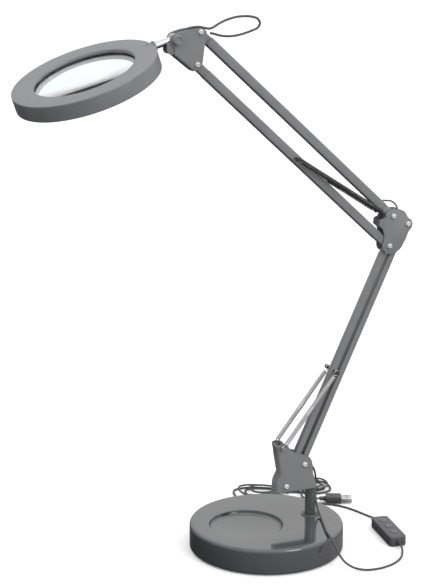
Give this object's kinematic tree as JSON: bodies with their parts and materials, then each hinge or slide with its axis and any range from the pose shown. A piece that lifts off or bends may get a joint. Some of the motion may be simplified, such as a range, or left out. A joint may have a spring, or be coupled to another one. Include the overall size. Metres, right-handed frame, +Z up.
{
  "type": "magnifying lamp",
  "caption": "Magnifying desk lamp on a round weighted base, with a sprung two-stage parallelogram arm and a lighted ring head around a round lens.",
  "frame": {"origin": "centre of the base's underside, on the surface the lamp stands on", "axes": "+Z up; the arms move in the XZ plane, with the head towards -X and the elbow towards +X"},
  "size_m": [0.4165, 0.2619, 0.5528],
  "materials": {
    "gloss_grey_cover": "gloss",
    "weight_steel": "matte",
    "dark_steel": "matte",
    "rubber_pad": "matte",
    "dark_plastic": "satin",
    "plated_steel": "satin",
    "grey_paint": "satin",
    "white_nylon": "satin",
    "black_steel": "satin",
    "chrome_rod": "polished",
    "head_grey": "satin",
    "lens_acrylic": "polished",
    "board_white": "matte",
    "diffuser_milk": "matte",
    "cable_jacket": "satin",
    "button_grey": "satin"
  },
  "bodies": {
    "base": {"base_cover": "gloss_grey_cover", "base_weight": "weight_steel", "base_bottom_plate": "dark_steel", "base_pad": "rubber_pad", "post_socket": "dark_plastic", "socket_nut": "plated_steel", "supply_lead": "cable_jacket", "controller_lead": "cable_jacket", "plug_lead": "cable_jacket", "cable_hank": "cable_jacket", "controller_lower": "dark_plastic", "controller_upper": "dark_plastic", "controller_relief_front": "cable_jacket", "controller_relief_back": "cable_jacket", "usb_overmold": "dark_plastic", "usb_shell": "plated_steel", "usb_tongue": "white_nylon"},
    "column": {"post": "gloss_grey_cover", "base_bracket": "grey_paint", "base_front_bolt": "white_nylon", "base_rear_bolt": "white_nylon", "supply_lead_top": "cable_jacket"},
    "lower_front": {"lower_front_tube": "grey_paint", "lower_front_low_plug": "dark_plastic", "lower_front_high_plug": "dark_plastic", "lower_spring_pin": "dark_plastic"},
    "lower_rear": {"lower_rear_tube": "grey_paint", "lower_rear_low_plug": "dark_plastic", "lower_rear_high_plug": "dark_plastic"},
    "elbow": {"elbow_bracket": "grey_paint", "elbow_top_bolt": "white_nylon", "elbow_rear_bolt": "white_nylon", "elbow_front_bolt": "white_nylon", "elbow_cable": "cable_jacket"},
    "upper_top": {"upper_top_tube": "grey_paint", "upper_top_low_plug": "dark_plastic", "upper_top_high_plug": "dark_plastic"},
    "upper_bottom": {"upper_bottom_tube": "grey_paint", "upper_bottom_low_plug": "dark_plastic", "upper_bottom_high_plug": "dark_plastic", "upper_spring_pin": "dark_plastic"},
    "lower_spring_low": {"lower_near_spring": "plated_steel"},
    "lower_spring_high": {"lower_far_spring": "plated_steel"},
    "upper_spring_low": {"upper_near_spring": "black_steel"},
    "upper_spring_high": {"upper_far_spring": "black_steel"},
    "head_bracket": {"head_bracket": "grey_paint", "head_top_bolt": "white_nylon", "head_low_bolt": "white_nylon", "tilt_knob": "dark_plastic", "head_loop_cable": "cable_jacket"},
    "rod": {"head_rod": "chrome_rod"},
    "ring": {"head_shell": "head_grey", "rod_socket": "dark_plastic", "lens": "lens_acrylic", "lens_ring": "dark_plastic", "led_board": "board_white", "diffuser": "diffuser_milk"},
    "button_power": {"button_power": "button_grey"},
    "button_brighter": {"button_brighter": "button_grey"},
    "button_dimmer": {"button_dimmer": "button_grey"}
  },
  "joints": [
    {"name": "base_swivel", "type": "hinge", "parent": "base", "child": "column", "pos_m": [0.05, 0, 0.058], "axis": [0, 0, 1], "range_deg": [-110, 110]},
    {"name": "lower_arm_pitch", "type": "hinge", "parent": "column", "child": "lower_rear", "pos_m": [0.0398, 0, 0.0871], "axis": [0, 1, 0], "range_deg": [-28, 5]},
    {"name": "lower_front_level", "type": "hinge", "parent": "column", "child": "lower_front", "pos_m": [0.0192, 0, 0.0655], "axis": [0, 1, 0], "range_deg": [-28.1, 5.1]},
    {"name": "elbow_level", "type": "hinge", "parent": "lower_rear", "child": "elbow", "pos_m": [0.15304, 0, 0.33331], "axis": [0, 1, 0], "range_deg": [-5.1, 28.1]},
    {"name": "lower_spring_swing", "type": "hinge", "parent": "column", "child": "lower_spring_low", "pos_m": [0.0136, 0, 0.108], "axis": [0, 1, 0], "range_deg": [-39.1, 7.1], "deforming": ["lower_near_spring"]},
    {"name": "lower_spring_lean", "type": "hinge", "parent": "lower_front", "child": "lower_spring_high", "pos_m": [0.07352, 0, 0.18361], "axis": [0, 1, 0], "range_deg": [-11.1, 2.1], "deforming": ["lower_far_spring"]},
    {"name": "upper_arm_pitch", "type": "hinge", "parent": "elbow", "child": "upper_top", "pos_m": [0.1361, 0, 0.3427], "axis": [0, 1, 0], "range_deg": [-31, 5], "deforming": ["elbow_cable"]},
    {"name": "upper_bottom_level", "type": "hinge", "parent": "elbow", "child": "upper_bottom", "pos_m": [0.13244, 0, 0.31171], "axis": [0, 1, 0], "range_deg": [-31.1, 5.1]},
    {"name": "head_level", "type": "hinge", "parent": "upper_top", "child": "head_bracket", "pos_m": [-0.07531, 0, 0.53916], "axis": [0, 1, 0], "range_deg": [-5.1, 31.1], "deforming": ["head_loop_cable"]},
    {"name": "upper_spring_swing", "type": "hinge", "parent": "elbow", "child": "upper_spring_low", "pos_m": [0.1262, 0, 0.3454], "axis": [0, 1, 0], "range_deg": [-35.4, 5.8], "deforming": ["upper_near_spring"]},
    {"name": "upper_spring_lean", "type": "hinge", "parent": "upper_bottom", "child": "upper_spring_high", "pos_m": [0.02696, 0, 0.40973], "axis": [0, 1, 0], "range_deg": [-4.4, 0.8], "deforming": ["upper_far_spring"]},
    {"name": "head_tilt", "type": "hinge", "parent": "head_bracket", "child": "rod", "pos_m": [-0.0999, 0, 0.533], "axis": [0, 1, 0], "range_deg": [-40, 70]},
    {"name": "head_turn", "type": "hinge", "parent": "rod", "child": "ring", "pos_m": [-0.12113, 0, 0.52653], "axis": [0.9565, 0, 0.2917], "range_deg": [-90, 90]},
    {"name": "power_press", "type": "slide", "parent": "base", "child": "button_power", "axis": [0, 0, -1], "range_m": [0, 0.001], "stiffness_N_per_m": 400, "springref_m": -0.0005},
    {"name": "brighter_press", "type": "slide", "parent": "base", "child": "button_brighter", "axis": [0, 0, -1], "range_m": [0, 0.001], "stiffness_N_per_m": 400, "springref_m": -0.0005},
    {"name": "dimmer_press", "type": "slide", "parent": "base", "child": "button_dimmer", "axis": [0, 0, -1], "range_m": [0, 0.001], "stiffness_N_per_m": 400, "springref_m": -0.0005}
  ],
  "couplings": [
    {"joint": "lower_front_level", "follows": "lower_arm_pitch", "ratio": 1},
    {"joint": "elbow_level", "follows": "lower_arm_pitch", "ratio": -1},
    {"joint": "lower_spring_swing", "follows": "lower_arm_pitch", "ratio": 1.391},
    {"joint": "lower_spring_lean", "follows": "lower_arm_pitch", "ratio": 0.391},
    {"joint": "upper_bottom_level", "follows": "upper_arm_pitch", "ratio": 1},
    {"joint": "head_level", "follows": "upper_arm_pitch", "ratio": -1},
    {"joint": "upper_spring_swing", "follows": "upper_arm_pitch", "ratio": 1.137},
    {"joint": "upper_spring_lean", "follows": "upper_arm_pitch", "ratio": 0.137}
  ]
}
